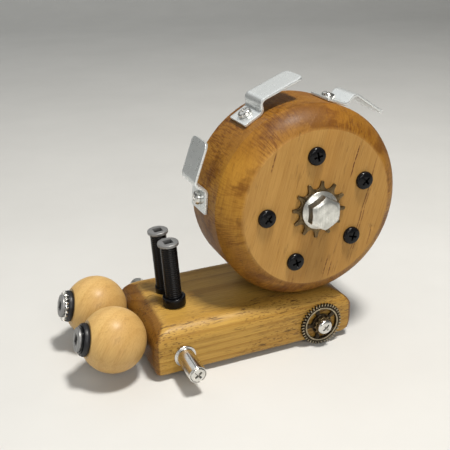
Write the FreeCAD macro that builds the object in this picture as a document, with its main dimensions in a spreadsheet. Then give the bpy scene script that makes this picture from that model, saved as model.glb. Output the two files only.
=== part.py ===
"""Snail made of wood and hardware: a wheel for the shell, balls for the eyes, bolts for the antennae.

Units are millimetres and degrees. +Z is up, the snail looks along -X and its near side faces -Y.
The origin is on the resting surface, under the middle of the whole snail.
"""
import FreeCAD, Part
import math
import os

import Sketcher
from FreeCAD import Placement, Rotation, Vector

DIMENSIONS = {
    # block that forms the snail's foot
    "block_length": 97.7, "block_width": 56.3, "block_height": 22.4, "block_mid_x": 4.4,
    "block_corner_radius": 3.2, "block_top_radius": 8.0, "block_bottom_radius": 2.2,
    "pad_height": 2.2, "pad_radius": 6.0, "pad_inset_end": 16.0, "pad_inset_side": 9.5,
    # wheel that forms the shell
    "wheel_offset_x": 27.4, "wheel_radius": 43.8, "wheel_thickness": 38.3, "wheel_near_y": -30.3,
    "wheel_face_radius": 34.8, "wheel_bevel_depth": 9.8, "wheel_bevel_round": 17.0,
    "wheel_back_round": 2.5, "wheel_ground_gap": 0.3,
    # axle
    "axle_radius": 4.0, "running_gap": 0.05, "axial_gap": 0.15, "flange_radius": 9.1,
    "flange_thickness": 1.4, "hex_across_flats": 13.0, "hex_height": 6.6, "bush_radius": 6.0,
    "spike_root_radius": 9.4, "spike_tip_radius": 12.8, "spike_width": 2.2, "spike_count": 12,
    "spiked_thickness": 1.0, "washer_radius": 8.0, "washer_thickness": 1.2,
    "nut_height": 8.0, "axle_stub": 1.2,
    # upright behind the wheel
    "upright_width": 34.0, "upright_thickness": 12.0, "upright_screw_spread": 9.0,
    "upright_screw_recess": 2.6,
    # clips on the rim
    "clip_width": 16.0, "clip_thickness": 1.2, "clip_front": 5.6,
    "clip_lift": 0.05,
    "clip_1_y": -4.6, "clip_1_back": 5.4, "clip_1_riser": 6.2, "clip_1_riser_angle": 64.0,
    "clip_1_tab": 18.2, "clip_1_tab_angle": -15.0,
    "clip_2_y": -6.8, "clip_2_back": 4.7, "clip_2_riser": 4.8, "clip_2_riser_angle": 76.0,
    "clip_2_tab": 21.0, "clip_2_tab_angle": -9.0,
    "clip_3_y": -8.4, "clip_3_back": 4.2, "clip_3_riser": 6.2, "clip_3_riser_angle": 64.0,
    "clip_3_tab": 17.8, "clip_3_tab_angle": -13.5,
    # eyes
    "ball_radius": 14.3, "ball_offset_x": -62.82, "ball_offset_y": 15.9, "ball_mid_z": 16.9,
    "ball_seat": 11.8, "eye_tilt": 14.5, "eye_washer_radius": 7.2, "eye_washer_thickness": 2.6,
    "eye_ring_radius": 6.1, "eye_ring_thickness": 0.7, "eye_head_radius": 5.2,
    "eye_head_thickness": 1.2, "eye_shank_radius": 2.5, "eye_screw_reach": 30.0,
    "star_tip_radius": 7.0, "star_thickness": 1.1,
    # antennae
    "antenna_offset_x": -31.7, "antenna_offset_y": 7.2, "antenna_lean": 3.0, "antenna_top": 53.6, "antenna_radius": 3.7,
    "antenna_head_radius": 4.7, "antenna_head_thickness": 1.4, "antenna_depth": 13.0,
    "collar_radius": 5.2, "collar_height": 4.6, "far_collar_radius": 4.2, "far_collar_height": 3.0,
    # arms
    "arm_offset_x": -35.1, "arm_mid_z": 8.7, "arm_length": 16.2, "arm_radius": 3.9,
    "arm_flange_radius": 4.95, "arm_flange_thickness": 1.0, "arm_head_radius": 3.25,
    "arm_shank_radius": 2.0, "arm_depth": 8.0,
    # gears at the tail
    "gear_offset_x": 31.4, "gear_mid_z": 8.5, "gear_root_radius": 9.3, "gear_tip_radius": 10.4,
    "gear_tooth_width": 1.0, "gear_teeth": 34, "gear_thickness": 1.5, "gear_ring_inner": 7.6,
    "gear_hub_radius": 4.9, "gear_spokes": 5, "cog_root_radius": 3.9, "cog_tip_radius": 4.7,
    "cog_teeth": 12, "cog_thickness": 1.4, "gear_screw_radius": 1.5, "gear_bush_radius": 2.0,
    "gear_head_radius": 3.5, "gear_gap": 0.3, "gear_screw_depth": 11.0,
    # driven sizes shared by the small pan heads
    "pan_height": 2.2, "clip_head_radius": 3.1, "clip_shank_radius": 1.6, "shell_head_radius": 4.0,
    "shell_shank_radius": 2.0, "upright_screw_radius": 2.0, "upright_head_radius": 4.0,
}
SHELL_SCREWS = [(24.0, 94.0), (24.1, 23.6), (22.7, -42.2), (25.1, -115.7), (24.5, 179.9)]
CLIP_ANGLES = {1: 174.9, 2: 120.8, 3: 69.5}

doc = FreeCAD.newDocument("Snail")
sheet = doc.addObject("Spreadsheet::Sheet", "Dimensions")
for line, (alias, number) in enumerate(DIMENSIONS.items(), start=1):
    sheet.set(f"A{line}", alias.replace("_", " "))
    sheet.set(f"B{line}", str(number))
    sheet.setAlias(f"B{line}", alias)
doc.recompute()


class Size:
    """A number together with the spreadsheet expression that gives it."""

    def __init__(self, value, text):
        self.value = float(value)
        self.text = text

    def __add__(self, other):
        other = size(other)
        return Size(self.value + other.value, f"({self.text} + {other.text})")

    def __sub__(self, other):
        other = size(other)
        return Size(self.value - other.value, f"({self.text} - {other.text})")

    def __mul__(self, other):
        other = size(other)
        return Size(self.value * other.value, f"({self.text} * {other.text})")

    def __truediv__(self, other):
        other = size(other)
        return Size(self.value / other.value, f"({self.text} / {other.text})")

    def __neg__(self):
        return size(0) - self

    __radd__ = __add__
    __rmul__ = __mul__

    def __rsub__(self, other):
        return size(other) - self


def size(item):
    """Turns a plain number or the name of a sheet cell into a Size."""
    if isinstance(item, Size):
        return item
    if isinstance(item, str):
        return Size(DIMENSIONS[item], f"Dimensions.{item}")
    return Size(item, f"{float(item):.6f}")


def sine(angle):
    angle = size(angle)
    return Size(math.sin(math.radians(angle.value)), f"sin({angle.text} * 1deg)")


def cosine(angle):
    angle = size(angle)
    return Size(math.cos(math.radians(angle.value)), f"cos({angle.text} * 1deg)")


# ---------------------------------------------------------------- building blocks

def new_body(label):
    body = doc.addObject("PartDesign::Body", label)
    body.Label = label
    return body


def origin_feature(body, role):
    return next(item for item in body.Origin.OriginFeatures if item.Role == role)


def bind(item, prop, amount):
    item.setExpression(prop, size(amount).text)


def put(item, x, y, z, rotation=Rotation()):
    """Places an object at sizes from the sheet."""
    x, y, z = size(x), size(y), size(z)
    item.Placement = Placement(Vector(x.value, y.value, z.value), rotation)
    for axis, amount in (("x", x), ("y", y), ("z", z)):
        bind(item, f"Placement.Base.{axis}", amount)


def new_sketch(body, role, lift=None):
    sketch = body.newObject("Sketcher::SketchObject", "Sketch")
    sketch.AttachmentSupport = [(origin_feature(body, role), "")]
    sketch.MapMode = "FlatFace"
    if lift is not None:
        sketch.AttachmentOffset = Placement(Vector(0, 0, size(lift).value), Rotation())
        bind(sketch, "AttachmentOffset.Base.z", lift)
    return sketch


def tie_point(sketch, edge, end, x, y):
    """Fixes one end of an edge at (x, y) from the sketch's origin."""
    for kind, axis, amount in (("DistanceX", -2, size(x)), ("DistanceY", -1, size(y))):
        if abs(amount.value) < 1e-9:
            sketch.addConstraint(Sketcher.Constraint("PointOnObject", edge, end, axis))
            continue
        index = sketch.addConstraint(Sketcher.Constraint(kind, -1, 1, edge, end, amount.value))
        sketch.setExpression(f"Constraints[{index}]", amount.text)


def arc_between(start, end, radius, turn):
    """Arc from start to end; turn is +1 where it runs anticlockwise and -1 where clockwise."""
    chord = end - start
    reach = math.sqrt(max(radius ** 2 - (chord.Length / 2) ** 2, 0.0))
    side = Vector(-chord.y, chord.x, 0).normalize()
    centre = (start + end) * 0.5 + side * reach * turn
    first, last = (start, end) if turn > 0 else (end, start)
    angles = [math.atan2(p.y - centre.y, p.x - centre.x) for p in (first, last)]
    circle = Part.Circle(centre, Vector(0, 0, 1), radius)
    return Part.ArcOfCircle(circle, angles[0], angles[1])


def draw(sketch, corners):
    """Closed outline. A corner is (x, y), or (x, y, radius, turn) where an arc leaves it."""
    first = len(sketch.Geometry)
    points = [Vector(size(c[0]).value, size(c[1]).value, 0) for c in corners]
    starts = []
    for i, corner in enumerate(corners):
        here, there = points[i], points[(i + 1) % len(points)]
        if len(corner) > 2:
            radius, turn = size(corner[2]), corner[3]
            edge = sketch.addGeometry(arc_between(here, there, radius.value, turn), False)
            index = sketch.addConstraint(Sketcher.Constraint("Radius", edge, radius.value))
            sketch.setExpression(f"Constraints[{index}]", radius.text)
            starts.append((edge, 1 if turn > 0 else 2))
        else:
            edge = sketch.addGeometry(Part.LineSegment(here, there), False)
            starts.append((edge, 1))
    for i, (edge, start) in enumerate(starts):
        following, next_start = starts[(i + 1) % len(starts)]
        finish = 3 - start
        sketch.addConstraint(Sketcher.Constraint("Coincident", edge, finish, following, next_start))
        tie_point(sketch, edge, start, corners[i][0], corners[i][1])
    return first


def draw_circle(sketch, x, y, radius):
    x, y, radius = size(x), size(y), size(radius)
    circle = Part.Circle(Vector(x.value, y.value, 0), Vector(0, 0, 1), radius.value)
    edge = sketch.addGeometry(circle, False)
    index = sketch.addConstraint(Sketcher.Constraint("Radius", edge, radius.value))
    sketch.setExpression(f"Constraints[{index}]", radius.text)
    tie_point(sketch, edge, 3, x, y)


def pad(body, sketch, height, name="Pad"):
    feature = body.newObject("PartDesign::Pad", name)
    feature.Profile = sketch
    bind(feature, "Length", height)
    return feature


def cut(body, sketch, depth, name="Pocket"):
    """Pocket against the sketch's own normal; it has to take material away."""
    before = body.Tip
    doc.recompute()
    full = before.Shape.Volume
    feature = body.newObject("PartDesign::Pocket", name)
    feature.Profile = sketch
    bind(feature, "Length", depth)
    doc.recompute()
    if feature.Shape.Volume > full - 1e-6:
        raise RuntimeError(f"{body.Label}: {name} cuts nothing")
    return feature


def drill(body, radius, depth, x, y, z, direction, name="Drill"):
    """Round hole that starts at (x, y, z) and runs along direction."""
    feature = body.newObject("PartDesign::SubtractiveCylinder", name)
    bind(feature, "Radius", radius)
    bind(feature, "Height", depth)
    put(feature, x, y, z, Rotation(Vector(0, 0, 1), Vector(*direction)))
    return feature


def turned(label, corners):
    """Body turned about its local Z axis from an outline of (radius, height) corners."""
    body = new_body(label)
    sketch = new_sketch(body, "XZ_Plane")
    draw(sketch, corners)
    feature = body.newObject("PartDesign::Revolution", "Revolution")
    feature.Profile = sketch
    feature.ReferenceAxis = (sketch, ["V_Axis"])
    feature.Angle = 360.0
    doc.recompute()
    return body


def edges_where(feature, test):
    """Names of the edges whose middle point and curve pass a test."""
    names = []
    for index, edge in enumerate(feature.Shape.Edges, start=1):
        middle = edge.valueAt((edge.FirstParameter + edge.LastParameter) / 2)
        if test(edge, middle):
            names.append(f"Edge{index}")
    return names


def dress(body, kind, amount, test):
    """Fillet or Chamfer on the edges that pass a test."""
    doc.recompute()
    base = body.Tip
    names = edges_where(base, test)
    if not names:
        raise RuntimeError(f"{body.Label}: no edge to dress")
    feature = body.newObject(f"PartDesign::{kind}", kind)
    feature.Base = (base, names)
    bind(feature, "Radius" if kind == "Fillet" else "Size", amount)
    doc.recompute()
    return feature


def ring_at(radius, height):
    """Test for a round edge about the local Z axis."""
    radius, height = size(radius).value, size(height).value

    def test(edge, middle):
        round_edge = isinstance(edge.Curve, Part.Circle)
        return round_edge and abs(edge.Curve.Radius - radius) < 1e-3 and abs(middle.z - height) < 1e-3

    return test


def repeat(body, feature, count):
    """Repeats a feature about the local Z axis."""
    pattern = body.newObject("PartDesign::PolarPattern", "PolarPattern")
    pattern.Originals = [feature]
    pattern.Axis = (origin_feature(body, "Z_Axis"), [""])
    pattern.Angle = 360.0
    pattern.Occurrences = int(size(count).value)
    bind(pattern, "Occurrences", count)
    body.Tip = pattern
    doc.recompute()
    return pattern


def cross_recess(body, top, reach, width, depth):
    """Phillips cross cut down from the top of a screw head."""
    reach, half = size(reach), size(width) / 2
    sketch = new_sketch(body, "XY_Plane", top)
    draw(sketch, [(reach, -half), (reach, half), (half, half), (half, reach), (-half, reach),
                  (-half, half), (-reach, half), (-reach, -half), (-half, -half), (-half, -reach),
                  (half, -reach), (half, -half)])
    cut(body, sketch, depth, "CrossRecess")


def square_recess(body, top, side, depth):
    half = size(side) / 2
    sketch = new_sketch(body, "XY_Plane", top)
    draw(sketch, [(half, -half), (half, half), (-half, half), (-half, -half)])
    cut(body, sketch, depth, "SquareRecess")


def pan_screw(label, head_radius, head_height, shank_radius, shank_length, recess=0.55):
    """Pan head screw: the head's underside is at local z 0 and the shank hangs below it."""
    head_radius, head_height, shank_radius = size(head_radius), size(head_height), size(shank_radius)
    length = size(shank_length)
    body = turned(label, [(0, -length), (shank_radius * 0.35, -length),
                          (shank_radius, shank_radius * 1.6 - length), (shank_radius, 0),
                          (head_radius, 0), (head_radius, head_height), (0, head_height)])
    dress(body, "Fillet", head_height * 0.72, ring_at(head_radius, head_height))
    cross_recess(body, head_height, head_radius * recess, head_radius * 0.24, head_height * 0.55)
    return body


def ring(label, inner, outer, thickness, edge=None):
    """Flat ring from local z 0 upwards."""
    body = turned(label, [(inner, 0), (outer, 0), (outer, thickness), (inner, thickness)])
    if edge:
        dress(body, "Fillet", edge, ring_at(outer, thickness))
    return body


def group(label, pieces):
    """One node that holds several separate solids."""
    feature = doc.addObject("Part::Feature", label)
    feature.Shape = Part.makeCompound(pieces)
    feature.Label = label
    return feature


def moved(shape, x, y, z, rotation=Rotation()):
    copy = shape.copy()
    copy.Placement = Placement(Vector(size(x).value, size(y).value, size(z).value), rotation)
    return copy


# ---------------------------------------------------------------- shared positions

SIDES = {"near": -1, "far": 1}
HALF_WIDTH = size("block_width") / 2
BLOCK_X = size("block_mid_x")
BLOCK_BOTTOM = size("pad_height")
BLOCK_TOP = BLOCK_BOTTOM + "block_height"
WHEEL_X = BLOCK_X + "wheel_offset_x"
WHEEL_Z = BLOCK_TOP + "wheel_ground_gap" + "wheel_radius"
WHEEL_NEAR = size("wheel_near_y")
WHEEL_FAR = WHEEL_NEAR + "wheel_thickness"
UPRIGHT_NEAR = WHEEL_FAR + "axial_gap" + "washer_thickness"
UPRIGHT_FAR = UPRIGHT_NEAR + "upright_thickness"
UPRIGHT_MID = UPRIGHT_NEAR + size("upright_thickness") / 2
FLANGE_Y = WHEEL_NEAR - "axial_gap" - "spiked_thickness"
EYE_X = BLOCK_X + "ball_offset_x"
EYE_Z = BLOCK_BOTTOM + "ball_mid_z"
GEAR_STACK = size("gear_gap") * 2 + "gear_thickness" + "cog_thickness"
INTO_WHEEL = Rotation(Vector(1, 0, 0), -90)


TILT = math.radians(DIMENSIONS["eye_tilt"])
EYE_AXIS = Vector(-math.cos(TILT), 0, math.sin(TILT))
LEANING = Rotation(Vector(0, 1, 0), -DIMENSIONS["antenna_lean"])
ANTENNA_AXIS = LEANING.multVec(Vector(0, 0, 1))


def outward(side):
    """Rotation that points local +Z away from one side of the block."""
    return Rotation(Vector(0, 0, 1), Vector(0, SIDES[side], 0))


# ---------------------------------------------------------------- wooden block and its feet

def make_block():
    body = new_body("body_block")
    half_length = size("block_length") / 2
    sketch = new_sketch(body, "XY_Plane")
    draw(sketch, [(half_length, -HALF_WIDTH), (half_length, HALF_WIDTH),
                  (-half_length, HALF_WIDTH), (-half_length, -HALF_WIDTH)])
    pad(body, sketch, "block_height")
    height = size("block_height").value
    dress(body, "Fillet", "block_corner_radius", lambda edge, m: abs(m.z - height / 2) < 1e-3)
    dress(body, "Fillet", "block_top_radius", lambda edge, m: abs(m.z - height) < 1e-3)
    dress(body, "Fillet", "block_bottom_radius", lambda edge, m: abs(m.z) < 1e-3)
    shank_hole = size("antenna_radius") + 0.02
    clear = 1.0
    for side in SIDES:
        drill(body, shank_hole, size("antenna_depth") + clear,
              size("antenna_offset_x") - clear * sine("antenna_lean"),
              size("antenna_offset_y") * SIDES[side], size("block_height") + clear,
              tuple(-ANTENNA_AXIS), "AntennaHole")
        for x, z, radius, depth in (
                ("arm_offset_x", "arm_mid_z", "arm_shank_radius", "arm_depth"),
                ("gear_offset_x", "gear_mid_z", "gear_screw_radius", "gear_screw_depth")):
            drill(body, size(radius) + 0.02, depth, x, HALF_WIDTH * SIDES[side], z,
                  (0, -SIDES[side], 0), "SideHole")
        drill(body, size("eye_shank_radius") + 0.02, "eye_screw_reach", "ball_offset_x",
              size("ball_offset_y") * SIDES[side], "ball_mid_z", tuple(-EYE_AXIS), "EyeHole")
    for end in (-1, 1):
        x = size("wheel_offset_x") + size("upright_screw_spread") * end
        drill(body, size("upright_screw_radius") + 0.02, size("block_height") + 2, x, UPRIGHT_MID,
              -1, (0, 0, 1), "UprightHole")
        drill(body, size("upright_head_radius") + 0.1, size("upright_screw_recess") + 1, x,
              UPRIGHT_MID, -1, (0, 0, 1), "UprightRecess")
    return body


block = make_block()
put(block, BLOCK_X, 0, BLOCK_BOTTOM)


def make_foot_pads():
    pieces = []
    for end in (-1, 1):
        for side in (-1, 1):
            x = BLOCK_X + (size("block_length") / 2 - "pad_inset_end") * end
            y = (HALF_WIDTH - "pad_inset_side") * side
            disc = Part.makeCylinder(DIMENSIONS["pad_radius"], DIMENSIONS["pad_height"])
            rim = [e for e in disc.Edges if isinstance(e.Curve, Part.Circle)]
            pieces.append(moved(disc.makeFillet(0.5, rim), x, y, 0))
    return group("foot_pads", pieces)


# ---------------------------------------------------------------- upright and axle

def make_upright():
    """Board with a round top; local z runs up from the block and local y runs through it."""
    body = new_body("wheel_upright")
    half = size("upright_width") / 2
    axle_height = WHEEL_Z - BLOCK_TOP
    sketch = new_sketch(body, "XZ_Plane")
    draw(sketch, [(-half, 0), (half, 0), (half, axle_height, half, 1),
                  (0, axle_height + half, half, 1), (-half, axle_height)])
    pad(body, sketch, "upright_thickness")
    dress(body, "Fillet", 1.6, lambda edge, m: m.z > 1 and abs(edge.valueAt(edge.FirstParameter).y
                                                               - m.y) < 1e-3)
    drill(body, size("axle_radius") + 0.02, size("upright_thickness") + 2, 0, 1, axle_height,
          (0, -1, 0), "AxleHole")
    for end in (-1, 1):
        drill(body, size("upright_screw_radius") + 0.02, 17, size("upright_screw_spread") * end,
              size("upright_thickness") / -2, -1, (0, 0, 1), "ScrewHole")
    return body


def make_axle_bolt(length):
    """Hexagon flange bolt: local z 0 is under the flange and the shank hangs down."""
    r = size("axle_radius")
    length = size(length)
    flange, rim = size("flange_radius"), size("flange_thickness")
    cone_top = rim * 1.9
    body = turned("axle_bolt", [(0, -length), (r - 0.8, -length), (r, 0.8 - length), (r, 0),
                                (flange, 0), (flange, rim * 0.6), (flange * 0.74, cone_top),
                                (0, cone_top)])
    half = size("hex_across_flats") / 2
    corner = half / cosine(30)
    sketch = new_sketch(body, "XY_Plane", cone_top - 0.4)
    draw(sketch, [(corner * cosine(60 * i), corner * sine(60 * i)) for i in range(6)])
    pad(body, sketch, size("hex_height") - cone_top + 0.4, "HexHead")
    top = size("hex_height")
    profile = new_sketch(body, "XZ_Plane")
    draw(profile, [(half * 0.94, top + 0.3), (corner + 1, top + 0.3), (corner + 1, top - 1.6)])
    doc.recompute()
    full = body.Tip.Shape.Volume
    groove = body.newObject("PartDesign::Groove", "HeadChamfer")
    groove.Profile = profile
    groove.ReferenceAxis = (profile, ["V_Axis"])
    groove.Angle = 360.0
    doc.recompute()
    if groove.Shape.Volume > full - 1e-6:
        raise RuntimeError("head chamfer cuts nothing")
    return body


def make_spiked_washer():
    body = ring("spiked_washer", size("axle_radius") + 0.1, "spike_root_radius", "spiked_thickness")
    root, tip = size("spike_root_radius") - 0.5, size("spike_tip_radius")
    half = size("spike_width") / 2
    nose = half * 0.55
    sketch = new_sketch(body, "XY_Plane")
    draw(sketch, [(root, -half), (tip - nose, -nose, nose, 1), (tip, 0, nose, 1),
                  (tip - nose, nose), (root, half)])
    spike = pad(body, sketch, "spiked_thickness", "Spike")
    doc.recompute()
    repeat(body, spike, "spike_count")
    return body


def make_lock_nut():
    body = new_body("axle_lock_nut")
    half = size("hex_across_flats") / 2
    corner = half / cosine(30)
    sketch = new_sketch(body, "XY_Plane")
    draw(sketch, [(corner * cosine(60 * i), corner * sine(60 * i)) for i in range(6)])
    pad(body, sketch, size("nut_height") * 0.78)
    collar = new_sketch(body, "XY_Plane", size("nut_height") * 0.78)
    draw_circle(collar, 0, 0, half * 0.92)
    pad(body, collar, size("nut_height") * 0.22, "NylonCollar")
    drill(body, size("axle_radius") + 0.02, size("nut_height") + 2, 0, 0, -1, (0, 0, 1), "Thread")
    return body


# ---------------------------------------------------------------- shell wheel

def make_wheel():
    """Turned disc: local z 0 is its near face and local z runs into the wood."""
    rim, face = size("wheel_radius"), size("wheel_face_radius")
    thick, bevel, back = size("wheel_thickness"), size("wheel_bevel_depth"), size("wheel_back_round")
    bore = size("bush_radius") + 0.01
    body = turned("shell_wheel", [(bore, 0), (face, 0, "wheel_bevel_round", 1), (rim, bevel),
                                  (rim, thick - back, back, 1), (rim - back, thick), (bore, thick)])
    for reach, angle in SHELL_SCREWS:
        drill(body, size("shell_shank_radius") + 0.02, 13, reach * cosine(angle),
              -reach * sine(angle), -1, (0, 0, 1), "ScrewHole")
    for number, angle in CLIP_ANGLES.items():
        way = (-cosine(angle).value, sine(angle).value, 0)
        drill(body, size("clip_shank_radius") + 0.02, 13, (rim + 1) * cosine(angle),
              (rim + 1) * -sine(angle), size(f"clip_{number}_y") - WHEEL_NEAR, way, "ClipHole")
    return body


def make_clip(number):
    """Bent strip: local x runs along the rim, local z away from it, local y across the strip."""
    body = new_body(f"rim_clip_{number}")
    thick = size("clip_thickness")
    lift, drop = size(f"clip_{number}_riser_angle"), size(f"clip_{number}_tab_angle")
    a = (-size(f"clip_{number}_back"), size(0))
    b = (size("clip_front"), size(0))
    riser = size(f"clip_{number}_riser")
    c = (b[0] + cosine(lift) * riser, sine(lift) * riser)
    tab = size(f"clip_{number}_tab")
    d = (c[0] + cosine(drop) * tab, c[1] + sine(drop) * tab)
    low, high = lift / 2, (lift + drop) / 2
    spread = cosine((lift - drop) / 2)
    b_top = (b[0] - sine(low) / cosine(low) * thick, thick)
    c_top = (c[0] - sine(high) / spread * thick, c[1] + cosine(high) / spread * thick)
    d_top = (d[0] - sine(drop) * thick, d[1] + cosine(drop) * thick)
    sketch = new_sketch(body, "XZ_Plane", -size("clip_width") / 2)
    draw(sketch, [a, b, c, d, d_top, c_top, b_top, (a[0], thick)])
    pad(body, sketch, "clip_width")
    b_x, c_x = b[0].value, c[0].value
    half = size("clip_width").value / 2

    def across(edge, m):
        return abs(m.y) < 0.01 and edge.Length > half

    dress(body, "Fillet", 1.1, lambda e, m: across(e, m) and (
        abs(m.x - b_top[0].value) < 0.01 or abs(m.x - c_x) < 0.01))
    dress(body, "Fillet", 2.2, lambda e, m: across(e, m) and (
        abs(m.x - b_x) < 0.01 or abs(m.x - c_top[0].value) < 0.01))
    dress(body, "Fillet", 2.6, lambda e, m: e.Length < 1.3 and abs(abs(m.y) - half) < 0.01
          and (m.x > c_x + 10 or m.x < a[0].value + 0.1))
    drill(body, size("clip_shank_radius") + "running_gap", 4, 0, 0, -1, (0, 0, 1), "ScrewHole")
    return body


# ---------------------------------------------------------------- eyes

def make_eye_ball(side):
    """Ball with a flat seat for the washer; local +z is the way the eye looks."""
    radius, seat = size("ball_radius"), size("ball_seat")
    bore = size("eye_shank_radius") + 0.02
    rim = Size(math.sqrt(radius.value ** 2 - seat.value ** 2),
               f"sqrt({radius.text} * {radius.text} - {seat.text} * {seat.text})")
    end = Size(math.sqrt(radius.value ** 2 - bore.value ** 2),
               f"sqrt({radius.text} * {radius.text} - {bore.text} * {bore.text})")
    return turned(f"{side}_eye_ball", [(bore, -end, radius, 1), (rim, seat), (bore, seat)])


def make_eye_screw(side, grip):
    """Flat round head with a square drive; local z 0 is under the head."""
    head, thick = size("eye_head_radius"), size("eye_head_thickness")
    shank = size("eye_shank_radius")
    length = size(grip)
    body = turned(f"{side}_eye_screw", [(0, -length), (shank * 0.3, -length),
                                        (shank, 4 - length), (shank, 0), (head, 0),
                                        (head, thick), (0, thick)])
    dress(body, "Fillet", thick * 0.45, ring_at(head, thick))
    square_recess(body, thick, 4.2, thick * 0.8)
    return body


def make_star_washer():
    body = ring("far_eye_star_washer", size("eye_shank_radius") + 0.1, 5.6, 0.8)
    half = size(0.55)
    tip = size("star_tip_radius")
    sketch = new_sketch(body, "XY_Plane")
    draw(sketch, [(5.3, -half), (tip, -half * 0.8), (tip, half * 0.8), (5.3, half)])
    tooth = pad(body, sketch, 1.1, "Tooth")
    doc.recompute()
    repeat(body, tooth, 20)
    return body


# ---------------------------------------------------------------- antennae and arms

def make_antenna(side):
    """Black bolt with a thin square-drive head; local z 0 is the block's top."""
    r, head = size("antenna_radius"), size("antenna_head_radius")
    top = size("antenna_top") - "block_height"
    under = top - "antenna_head_thickness"
    depth = size("antenna_depth") - 0.5
    body = turned(f"{side}_antenna_bolt", [(0, -depth), (r - 0.8, -depth), (r, 0.8 - depth),
                                           (r, under), (head, under), (head, top), (0, top)])
    dress(body, "Fillet", 0.4, ring_at(head, top))
    square_recess(body, top, 4.0, 2.6)
    return body


def make_collar(side):
    radius = size("collar_radius" if side == "near" else "far_collar_radius")
    height = size("collar_height" if side == "near" else "far_collar_height")
    body = ring(f"{side}_antenna_collar", size("antenna_radius") + 0.02, radius, height)
    dress(body, "Fillet", 0.4, lambda edge, m: isinstance(edge.Curve, Part.Circle)
          and abs(edge.Curve.Radius - radius.value) < 1e-3)
    return body


def make_arm_sleeve(side):
    """Flanged tube: local z 0 is the block's side; the screw head lies in its outer end."""
    r, flange = size("arm_radius"), size("arm_flange_radius")
    bore, length = size("arm_shank_radius") + 0.02, size("arm_length")
    seat, cup = size("arm_head_radius") + 0.12, size(2.0)
    body = turned(f"{side}_arm_sleeve", [(bore, 0), (flange, 0), (flange, "arm_flange_thickness"),
                                         (r, "arm_flange_thickness"), (r, length), (seat, length),
                                         (seat, length - cup), (bore, length - cup)])
    dress(body, "Fillet", 0.35, lambda edge, m: isinstance(edge.Curve, Part.Circle) and (
        abs(m.z - length.value) < 1e-3 and edge.Curve.Radius > seat.value + 0.1
        or abs(edge.Curve.Radius - flange.value) < 1e-3 and m.z > 0.5))
    return body


def make_arm_screw(side):
    """Screw down the sleeve; local z 0 is under its head."""
    head, shank = size("arm_head_radius"), size("arm_shank_radius")
    length = size("arm_length") - 2.0 + size("arm_depth") - 0.5
    body = turned(f"{side}_arm_screw", [(0, -length), (shank * 0.4, -length), (shank, 3 - length),
                                        (shank, 0), (head, 0), (head, 2.3), (0, 2.3)])
    dress(body, "Fillet", 0.6, ring_at(head, 2.3))
    cross_recess(body, 2.3, head * 0.66, 1.0, 1.3)
    return body


# ---------------------------------------------------------------- gears at the tail

def make_tail_gear(side):
    """Thin spoked gear; local z 0 is its face beside the block."""
    bore = size("gear_bush_radius") + "running_gap"
    body = ring(f"{side}_tail_gear", bore, "gear_root_radius", "gear_thickness")
    inner, hub = size("gear_ring_inner"), size("gear_hub_radius")
    half_spoke = 10
    step = 360 / DIMENSIONS["gear_spokes"] / 2
    low, high = -step + half_spoke, step - half_spoke
    window = new_sketch(body, "XY_Plane", size("gear_thickness") + 0.5)
    draw(window, [(hub * cosine(low), hub * sine(low)),
                  (inner * cosine(low), inner * sine(low), inner, 1),
                  (inner * cosine(high), inner * sine(high)),
                  (hub * cosine(high), hub * sine(high), hub, -1)])
    opening = cut(body, window, size("gear_thickness") + 1, "Window")
    repeat(body, opening, "gear_spokes")
    sketch = new_sketch(body, "XY_Plane")
    half, root, tip = size("gear_tooth_width") / 2, size("gear_root_radius") - 0.3, size("gear_tip_radius")
    draw(sketch, [(root, -half), (tip, -half * 0.7), (tip, half * 0.7), (root, half)])
    tooth = pad(body, sketch, "gear_thickness", "Tooth")
    doc.recompute()
    repeat(body, tooth, "gear_teeth")
    return body


def make_cog(side):
    """Small toothed boss that lies on the tail gear's hub."""
    bore = size("gear_bush_radius") + "running_gap"
    body = ring(f"{side}_gear_cog", bore, "cog_root_radius", "cog_thickness")
    sketch = new_sketch(body, "XY_Plane")
    half, root, tip = size(0.65), size("cog_root_radius") - 0.3, size("cog_tip_radius")
    draw(sketch, [(root, -half), (tip, -half * 0.7), (tip, half * 0.7), (root, half)])
    tooth = pad(body, sketch, "cog_thickness", "Tooth")
    doc.recompute()
    repeat(body, tooth, "cog_teeth")
    return body


# ---------------------------------------------------------------- assembly

NODES = [block, make_foot_pads()]


def place(item, x, y, z, rotation=Rotation()):
    put(item, x, y, z, rotation)
    NODES.append(item)


def place_at_axle(item, y, rotation=INTO_WHEEL):
    place(item, WHEEL_X, y, WHEEL_Z, rotation)


upright_screw = pan_screw("upright_screw", "upright_head_radius", "pan_height",
                          "upright_screw_radius", 33)
shell_screw = pan_screw("shell_screw", "shell_head_radius", "pan_height", "shell_shank_radius", 11.5)
clip_screw = pan_screw("clip_screw", "clip_head_radius", "pan_height", "clip_shank_radius", 12)

place(make_upright(), WHEEL_X, UPRIGHT_FAR, BLOCK_TOP)
head_down = Rotation(Vector(1, 0, 0), 180)
NODES.append(group("upright_screws", [
    moved(upright_screw.Shape, WHEEL_X + size("upright_screw_spread") * end, UPRIGHT_MID,
          BLOCK_BOTTOM + "upright_screw_recess", head_down) for end in (-1, 1)]))

bolt_length = UPRIGHT_FAR - FLANGE_Y + "washer_thickness" + "nut_height" + "axle_stub"
place_at_axle(make_axle_bolt(bolt_length), FLANGE_Y, outward("near"))
place_at_axle(make_spiked_washer(), FLANGE_Y)
washer_bore = size("axle_radius") + 0.1
place_at_axle(ring("axle_spacer_washer", washer_bore, "washer_radius", "washer_thickness"),
              WHEEL_FAR + "axial_gap")
place_at_axle(ring("axle_back_washer", washer_bore, "washer_radius", "washer_thickness"), UPRIGHT_FAR)
place_at_axle(make_lock_nut(), UPRIGHT_FAR + "washer_thickness")

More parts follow.
